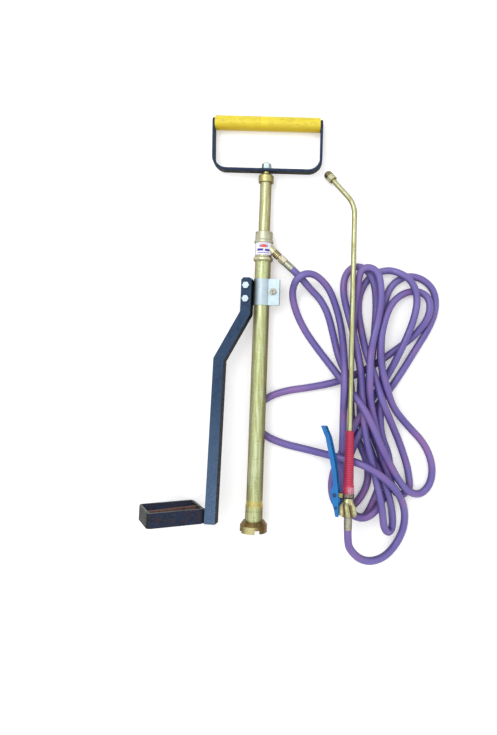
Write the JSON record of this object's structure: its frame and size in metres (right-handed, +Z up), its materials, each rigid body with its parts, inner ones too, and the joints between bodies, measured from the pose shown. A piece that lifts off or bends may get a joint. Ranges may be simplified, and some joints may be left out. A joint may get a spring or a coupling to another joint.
{
  "type": "stirrup pump sprayer",
  "caption": "Brass bucket pump laid on the floor: D handle on a plunger, foot ring on a cranked arm, soft hose in a loose pile and a brass lance with a trigger lever.",
  "frame": {"origin": "floor level under the middle of the object's box, measured without the hose", "axes": "+Z up from the floor, +Y from the suction collar toward the handle, +X toward the lance"},
  "size_m": [0.4852, 0.7358, 0.0932],
  "materials": {
    "brass_barrel": "satin, patinated",
    "cast_brass": "cast, satin",
    "old_brass": "tarnished",
    "dull_brass": "dull, greyish",
    "zinc": "zinc plated",
    "steel": "bright",
    "blue_paint": "hammered",
    "dark_paint": "hammered, scuffed",
    "rusty": "rusty",
    "yellow_plastic": "satin",
    "red_plastic": "ribbed",
    "blue_plastic": "satin",
    "seal": "matte",
    "purple_hose": "glossy, soft plastic"
  },
  "bodies": {
    "pump": {"barrel_tube": "brass_barrel", "foot_sleeve": "brass_barrel", "base_collar": "cast_brass", "strainer": "brass_barrel", "suction_seat": "cast_brass", "suction_stop_pin": "brass_barrel", "delivery_head": "cast_brass", "gland_packing": "seal", "gland_nut": "cast_brass", "outlet_spigot": "cast_brass", "outlet_nut": "cast_brass", "outlet_ferrule": "dull_brass", "clamp_front": "zinc", "clamp_back": "zinc", "clamp_bolt": "rusty", "clamp_nut": "zinc", "arm_bolts": "zinc", "arm_nuts": "zinc", "foot_arm": "blue_paint", "foot_ring": "dark_paint", "foot_bar": "rusty", "foot_weld": "dark_paint", "hose_tail": "dull_brass", "union_nut": "cast_brass", "valve_body": "cast_brass", "valve_collar": "cast_brass", "valve_o_ring": "seal", "lever_pin": "steel", "lance_grip": "red_plastic", "lance_tube": "brass_barrel", "nozzle_nut": "cast_brass", "hose": "purple_hose"},
    "piston_set": {"piston": "cast_brass", "piston_cup": "seal", "piston_stop_pin": "brass_barrel"},
    "delivery_ball": {"delivery_ball": "steel"},
    "plunger": {"plunger_tube": "brass_barrel", "plunger_cap": "cast_brass", "handle_frame": "dark_paint", "handle_rod": "dark_paint", "handle_washer": "zinc", "handle_nut": "zinc"},
    "grip": {"handle_grip": "yellow_plastic"},
    "suction_ball": {"suction_ball": "steel"},
    "lever": {"lever": "blue_plastic"},
    "stem": {"valve_stem": "steel"},
    "spray_cap": {"nozzle_cap": "old_brass"}
  },
  "joints": [
    {"name": "plunger_slide", "type": "slide", "parent": "pump", "child": "piston_set", "axis": [0.0277, 0.9992, -0.0274], "range_m": [-0.083, 0.28]},
    {"name": "plunger_turn", "type": "hinge", "parent": "piston_set", "child": "plunger", "pos_m": [0.02083, 0.22366, 0.01555], "axis": [0.0277, 0.9992, -0.0274], "continuous": true},
    {"name": "grip_spin", "type": "hinge", "parent": "plunger", "child": "grip", "pos_m": [0.02372, 0.32758, 0.0127], "axis": [0.9996, -0.0277, 0], "continuous": true},
    {"name": "delivery_ball_lift", "type": "slide", "parent": "piston_set", "child": "delivery_ball", "axis": [0.0277, 0.9992, -0.0274], "range_m": [0, 0.004]},
    {"name": "suction_ball_lift", "type": "slide", "parent": "pump", "child": "suction_ball", "axis": [0.0277, 0.9992, -0.0274], "range_m": [0, 0.004]},
    {"name": "lever_squeeze", "type": "hinge", "parent": "pump", "child": "lever", "pos_m": [0.13475, -0.28158, 0.04775], "axis": [0.34, -0.0664, -0.9381], "range_deg": [0, 16], "stiffness_Nm_per_rad": 2.5, "springref_deg": -14.32},
    {"name": "stem_pull", "type": "slide", "parent": "pump", "child": "stem", "axis": [-0.9398, 0.0117, -0.3414], "range_m": [0, 0.003]},
    {"name": "cap_turn", "type": "hinge", "parent": "pump", "child": "spray_cap", "pos_m": [0.12755, 0.2386, 0.00831], "axis": [-0.5912, 0.7607, -0.2681], "range_deg": [-180, 360]}
  ],
  "couplings": [
    {"joint": "stem_pull", "follows": "lever_squeeze", "m_per_rad": 0.0102}
  ]
}
